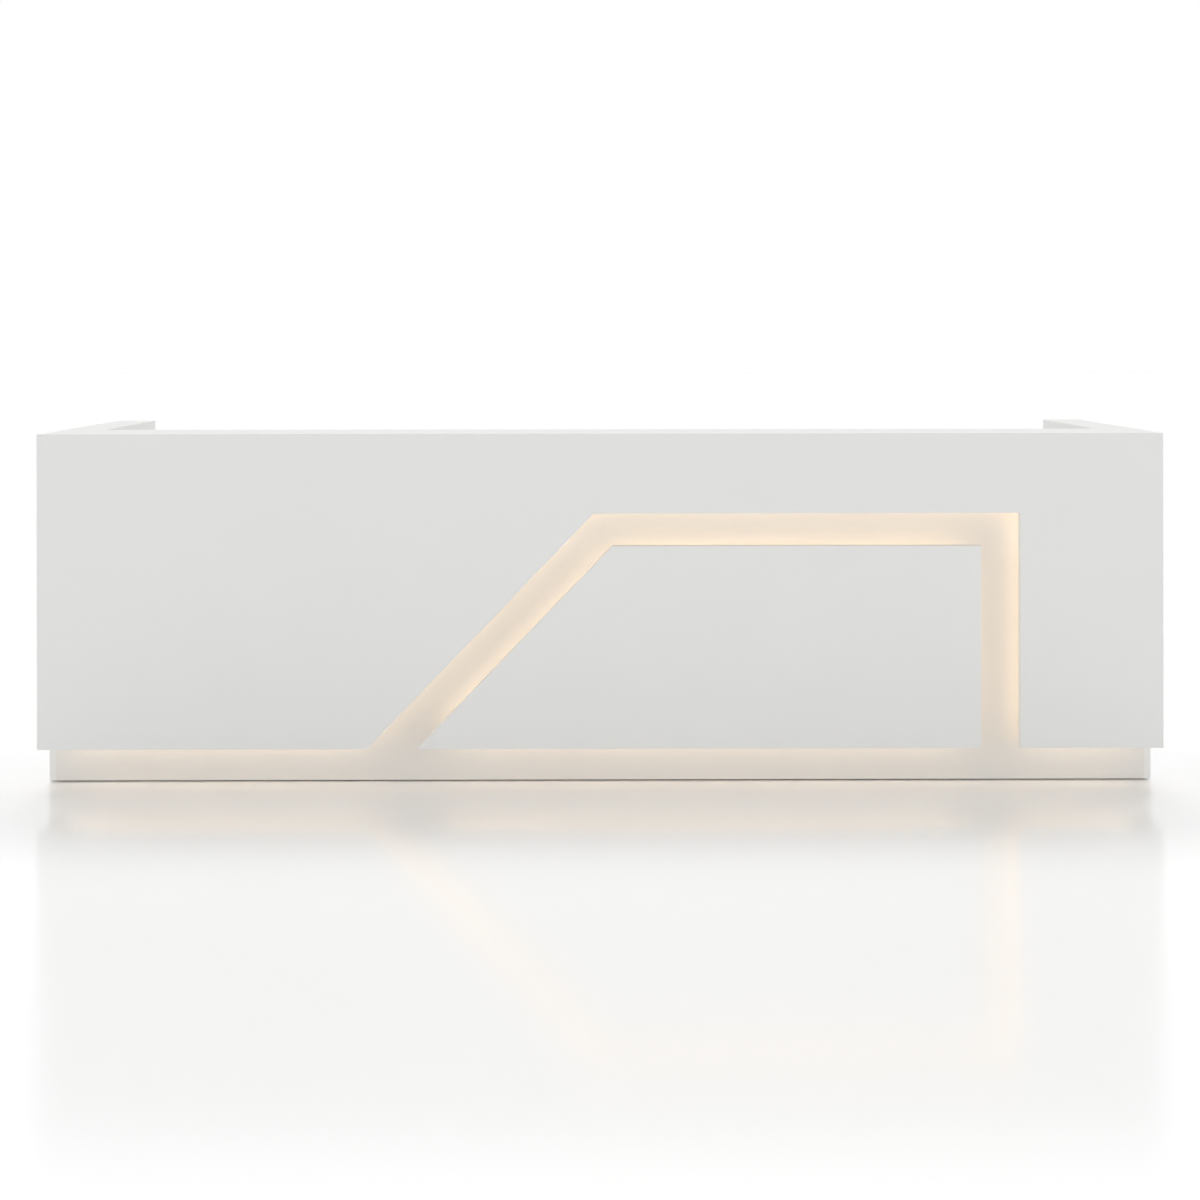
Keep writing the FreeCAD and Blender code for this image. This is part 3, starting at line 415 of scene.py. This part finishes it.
def make_mark(name, outlines, place, ink):
    # A thin raised print of one outline, or of the ring between two, that rides on the rocker.
    shape = bmesh.new()
    rims = [[shape.verts.new(point) for point in outline] for outline in outlines]
    if len(rims) == 1:
        shape.faces.new(rims[0])
    else:
        outside, inside = rims
        for step in range(mark_steps):
            back = step - 1
            shape.faces.new((outside[back], outside[step], inside[step], inside[back]))
    raised = bmesh.ops.extrude_face_region(shape, geom=shape.faces[:])["geom"]
    top = [item for item in raised if isinstance(item, bmesh.types.BMVert)]
    bmesh.ops.translate(shape, verts=top, vec=(0, 0, mark_thickness))
    bmesh.ops.recalc_face_normals(shape, faces=shape.faces[:])
    bmesh.ops.transform(shape, verts=shape.verts[:], matrix=place)
    mesh = bpy.data.meshes.new(name)
    shape.to_mesh(mesh)
    shape.free()
    mesh.materials.append(ink)
    mark = bpy.data.objects.new(name, mesh)
    bpy.context.collection.objects.link(mark)
    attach(mark, "rocker")


def make_switch_marks():
    # A bar on the half that is pressed for on, and a ring on the half for off.
    ink = white_print()
    bar = [oval(bar_width / 2, (bar_length - bar_width) / 2)]
    ring = [oval(ring_outside, 0), oval(ring_inside, 0)]
    make_mark("switch_bar_mark", bar, on_face("switch_rocker", rocker_on_face), ink)
    make_mark("switch_ring_mark", ring, on_face("switch_rocker", rocker_off_face), ink)


make_switch_marks()


# Studio

# Lamps: how strong they are, where they stand and how broad they look
world_light = 0.40
key_light = 0.49
key_elevation = math.radians(60)
key_azimuth = math.radians(40)
key_size = math.radians(20)
front_fill = 0.45
side_fill = 0.68
fill_elevation = math.radians(6)
fill_azimuth = math.radians(72)
fill_size = math.radians(40)

# Floor: half its width, its shine, and how white it is as a light and in view
floor_reach = 60.0
floor_gloss = 0.41
floor_haze = 0.16
floor_body = 0.92
floor_seen = 1.14

# Camera, fitted to the desk's corners in the photograph
sensor_width = 36.0
lens = 48.312
lens_shift = (0.00075, -0.21547)
camera_place = (-0.0153, -4.9714, 1.2771)
camera_turn = math.radians(-0.152)
camera_roll = math.radians(-0.0698)
level_view = math.radians(90)


def in_view(tree):
    # One where the camera sees a thing itself, or sees it in a shine or through a clear piece.
    path = tree.nodes.new("ShaderNodeLightPath").outputs
    seen = path["Is Camera Ray"]
    for kind in ("Is Glossy Ray", "Is Transmission Ray"):
        seen = add(tree, "ShaderNodeMath", {0: seen, 1: path[kind]}, operation="MAXIMUM")
    return seen


def make_world():
    # Even white all round, dimmed where it lights a matt surface.
    world = bpy.data.worlds.new("white_studio")
    world.use_nodes = True
    tree = world.node_tree
    tree.nodes.clear()
    level = add(tree, "ShaderNodeMapRange", {"Value": in_view(tree), "To Min": world_light, "To Max": 1.0})
    light = add(tree, "ShaderNodeBackground", {"Color": (1, 1, 1, 1), "Strength": level})
    add(tree, "ShaderNodeOutputWorld", {"Surface": light})
    bpy.context.scene.world = world


def towards(azimuth, elevation):
    # Direction to a lamp: azimuth from straight behind the desk, and elevation over the floor.
    level = math.cos(elevation)
    return Vector((level * math.sin(azimuth), level * math.cos(azimuth), math.sin(elevation)))


def make_lamp(name, light, size, direction):
    # A far lamp that shines from this direction.
    lamp = bpy.data.lights.new(name, "SUN")
    lamp.energy = light
    lamp.angle = size
    holder = bpy.data.objects.new(name, lamp)
    bpy.context.collection.objects.link(holder)
    holder.rotation_euler = direction.to_track_quat("Z", "Y").to_euler()


def make_lamps():
    # Three soft lamps behind and above the desk, and three low broad fills across its front.
    for azimuth in (-key_azimuth, 0, key_azimuth):
        make_lamp("key", key_light, key_size, towards(azimuth, key_elevation))
    for azimuth, light in ((-fill_azimuth, side_fill), (0, front_fill), (fill_azimuth, side_fill)):
        make_lamp("front_fill", light, fill_size, towards(math.pi + azimuth, fill_elevation))


def make_floor():
    # Polished pale floor: a white body under a soft reflection.
    mesh = bpy.data.meshes.new("floor")
    corners = [(-floor_reach, -floor_reach, 0), (floor_reach, -floor_reach, 0),
               (floor_reach, floor_reach, 0), (-floor_reach, floor_reach, 0)]
    mesh.from_pydata(corners, [], [(0, 1, 2, 3)])
    floor = bpy.data.objects.new("floor", mesh)
    bpy.context.collection.objects.link(floor)
    material, tree, _ = start("polished_pale_floor")
    white = add(tree, "ShaderNodeMapRange", {"Value": in_view(tree), "To Min": floor_body,
                                             "To Max": floor_seen})
    body = add(tree, "ShaderNodeBsdfDiffuse", {"Color": white})
    gloss = add(tree, "ShaderNodeBsdfGlossy", {"Color": (1, 1, 1, 1), "Roughness": floor_haze})
    mixed = add(tree, "ShaderNodeMixShader", {0: floor_gloss, 1: body, 2: gloss})
    add(tree, "ShaderNodeOutputMaterial", {"Surface": mixed})
    mesh.materials.append(material)


def make_camera():
    # Level camera with its lens shifted down, so upright edges stay upright.
    data = bpy.data.cameras.new("camera")
    data.sensor_width = sensor_width
    data.lens = lens
    data.shift_x, data.shift_y = lens_shift
    holder = bpy.data.objects.new("camera", data)
    bpy.context.collection.objects.link(holder)
    place = Matrix.Translation(camera_place)
    turn = Matrix.Rotation(camera_turn, 4, "Z") @ Matrix.Rotation(level_view, 4, "X")
    roll = Matrix.Rotation(camera_roll, 4, "Z")
    holder.matrix_world = place @ turn @ roll
    bpy.context.scene.camera = holder


make_world()
make_lamps()
make_floor()
make_camera()
bpy.context.scene.view_settings.view_transform = "Standard"
